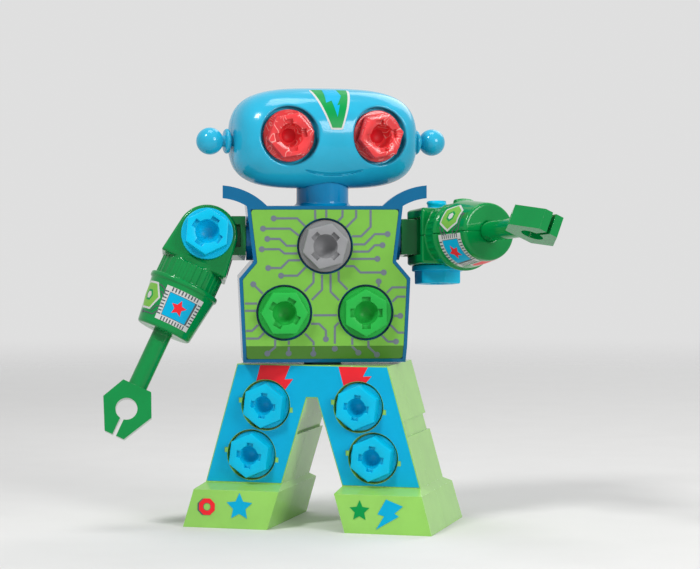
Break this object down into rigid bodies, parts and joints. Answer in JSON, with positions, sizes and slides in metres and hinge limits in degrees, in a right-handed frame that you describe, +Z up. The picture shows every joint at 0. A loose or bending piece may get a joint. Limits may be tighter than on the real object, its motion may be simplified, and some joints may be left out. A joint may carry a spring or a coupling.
{
  "type": "toy robot",
  "caption": "Toy robot with splayed legs, a turning waist and neck, hinged clawed arms and big hex-headed bolts that turn.",
  "frame": {"origin": "on the floor under the waist axis, between the feet", "axes": "+Z up along the waist axis; -Y is the way the legs face; +X to the right as seen from in front"},
  "size_m": [0.2209, 0.1004, 0.2077],
  "materials": {
    "lime_plastic": "gloss",
    "blue_plastic": "gloss",
    "sky_plastic": "gloss",
    "green_plastic": "gloss",
    "cyan_bolt_plastic": "gloss",
    "green_bolt_plastic": "gloss",
    "grey_bolt_plastic": "gloss",
    "red_clear_plastic": "gloss",
    "printed_sticker": "satin",
    "screw_steel": "satin",
    "nylon": "matte"
  },
  "bodies": {
    "legs": {"leg_front_shell": "lime_plastic", "leg_rear_shell": "lime_plastic", "leg_screws": "screw_steel", "leg_sticker": "printed_sticker", "foot_stickers": "printed_sticker"},
    "torso": {"torso_front_shell": "blue_plastic", "torso_rear_shell": "blue_plastic", "torso_screws": "screw_steel", "chest_panel": "lime_plastic", "waist_pin": "blue_plastic", "waist_washer": "nylon", "waist_screw": "screw_steel", "neck_post": "blue_plastic", "neck_washer": "nylon", "neck_screw": "screw_steel"},
    "head": {"head_front_shell": "sky_plastic", "head_rear_shell": "sky_plastic", "head_screws": "screw_steel", "forehead_sticker": "printed_sticker", "ear_knob_left": "sky_plastic", "ear_knob_right": "sky_plastic"},
    "shoulder_left": {"shoulder_bar_left": "green_plastic", "shoulder_washer_left": "nylon", "shoulder_screw_left": "screw_steel"},
    "arm_left": {"arm_front_shell_left": "green_plastic", "arm_rear_shell_left": "green_plastic", "arm_screws_left": "screw_steel", "cuff_sticker_left": "printed_sticker"},
    "forearm_left": {"claw_left": "green_plastic"},
    "shoulder_right": {"shoulder_bar_right": "green_plastic", "shoulder_washer_right": "nylon", "shoulder_screw_right": "screw_steel"},
    "arm_right": {"arm_front_shell_right": "green_plastic", "arm_rear_shell_right": "green_plastic", "arm_screws_right": "screw_steel", "cuff_sticker_right": "printed_sticker"},
    "forearm_right": {"claw_right": "green_plastic"},
    "leg_bolt_upper_left_body": {"leg_bolt_upper_left": "cyan_bolt_plastic"},
    "leg_bolt_upper_right_body": {"leg_bolt_upper_right": "cyan_bolt_plastic"},
    "leg_bolt_lower_left_body": {"leg_bolt_lower_left": "cyan_bolt_plastic"},
    "leg_bolt_lower_right_body": {"leg_bolt_lower_right": "cyan_bolt_plastic"},
    "chest_bolt_top_body": {"chest_bolt_top": "grey_bolt_plastic"},
    "chest_bolt_left_body": {"chest_bolt_left": "green_bolt_plastic"},
    "chest_bolt_right_body": {"chest_bolt_right": "green_bolt_plastic"},
    "eye_bolt_left_body": {"eye_bolt_left": "red_clear_plastic"},
    "eye_bolt_right_body": {"eye_bolt_right": "red_clear_plastic"},
    "arm_bolt_left_body": {"arm_bolt_left": "cyan_bolt_plastic"},
    "arm_bolt_right_body": {"arm_bolt_right": "cyan_bolt_plastic"}
  },
  "joints": [
    {"name": "waist_swivel", "type": "hinge", "parent": "legs", "child": "torso", "pos_m": [0, 0, 0.0772], "axis": [0, 0, 1], "continuous": true},
    {"name": "neck_swivel", "type": "hinge", "parent": "torso", "child": "head", "pos_m": [0, 0, 0.1601], "axis": [0, 0, 1], "continuous": true},
    {"name": "shoulder_swivel_left", "type": "hinge", "parent": "torso", "child": "shoulder_left", "pos_m": [-0.052, -0.01791, 0.1365], "axis": [-0.9455, -0.3256, 0], "continuous": true},
    {"name": "arm_hinge_left", "type": "hinge", "parent": "shoulder_left", "child": "arm_left", "pos_m": [-0.052, -0.01791, 0.1365], "axis": [-0.3206, 0.9312, -0.1736], "range_deg": [-13, 133]},
    {"name": "wrist_swivel_left", "type": "hinge", "parent": "arm_left", "child": "forearm_left", "pos_m": [-0.06925, -0.03208, 0.09232], "axis": [-0.3484, -0.2864, -0.8925], "continuous": true},
    {"name": "shoulder_swivel_right", "type": "hinge", "parent": "torso", "child": "shoulder_right", "pos_m": [0.052, 0.01791, 0.1365], "axis": [-0.9455, -0.3256, 0], "continuous": true},
    {"name": "arm_hinge_right", "type": "hinge", "parent": "shoulder_right", "child": "arm_right", "pos_m": [0.052, 0.01791, 0.1365], "axis": [0.0284, -0.0824, -0.9962], "range_deg": [-145, 1]},
    {"name": "wrist_swivel_right", "type": "hinge", "parent": "arm_right", "child": "forearm_right", "pos_m": [0.08507, -0.01871, 0.14047], "axis": [0.668, -0.7398, 0.0802], "continuous": true},
    {"name": "leg_bolt_upper_left_spin", "type": "hinge", "parent": "legs", "child": "leg_bolt_upper_left_body", "pos_m": [-0.0227, -0.0149, 0.0578], "axis": [0, -1, 0], "continuous": true},
    {"name": "leg_bolt_upper_right_spin", "type": "hinge", "parent": "legs", "child": "leg_bolt_upper_right_body", "pos_m": [0.0227, -0.0149, 0.0578], "axis": [0, -1, 0], "continuous": true},
    {"name": "leg_bolt_lower_left_spin", "type": "hinge", "parent": "legs", "child": "leg_bolt_lower_left_body", "pos_m": [-0.0298, -0.0149, 0.034], "axis": [0, -1, 0], "continuous": true},
    {"name": "leg_bolt_lower_right_spin", "type": "hinge", "parent": "legs", "child": "leg_bolt_lower_right_body", "pos_m": [0.0298, -0.0149, 0.034], "axis": [0, -1, 0], "continuous": true},
    {"name": "chest_bolt_top_spin", "type": "hinge", "parent": "torso", "child": "chest_bolt_top_body", "pos_m": [0.00566, -0.01645, 0.1332], "axis": [0.3256, -0.9455, 0], "continuous": true},
    {"name": "chest_bolt_left_spin", "type": "hinge", "parent": "torso", "child": "chest_bolt_left_body", "pos_m": [-0.01239, -0.02267, 0.102], "axis": [0.3256, -0.9455, 0], "continuous": true},
    {"name": "chest_bolt_right_spin", "type": "hinge", "parent": "torso", "child": "chest_bolt_right_body", "pos_m": [0.02372, -0.01023, 0.102], "axis": [0.3256, -0.9455, 0], "continuous": true},
    {"name": "eye_bolt_left_spin", "type": "hinge", "parent": "head", "child": "eye_bolt_left_body", "pos_m": [-0.00982, -0.02481, 0.1848], "axis": [0.4772, -0.8788, 0], "continuous": true},
    {"name": "eye_bolt_right_spin", "type": "hinge", "parent": "head", "child": "eye_bolt_right_body", "pos_m": [0.02663, -0.00159, 0.1848], "axis": [0.5948, -0.8039, 0], "continuous": true},
    {"name": "arm_bolt_left_spin", "type": "hinge", "parent": "arm_left", "child": "arm_bolt_left_body", "pos_m": [-0.04772, -0.03034, 0.13882], "axis": [0.3206, -0.9312, 0.1736], "continuous": true},
    {"name": "arm_bolt_right_spin", "type": "hinge", "parent": "arm_right", "child": "arm_bolt_right_body", "pos_m": [0.05238, 0.01681, 0.1232], "axis": [0.0284, -0.0824, -0.9962], "continuous": true}
  ]
}
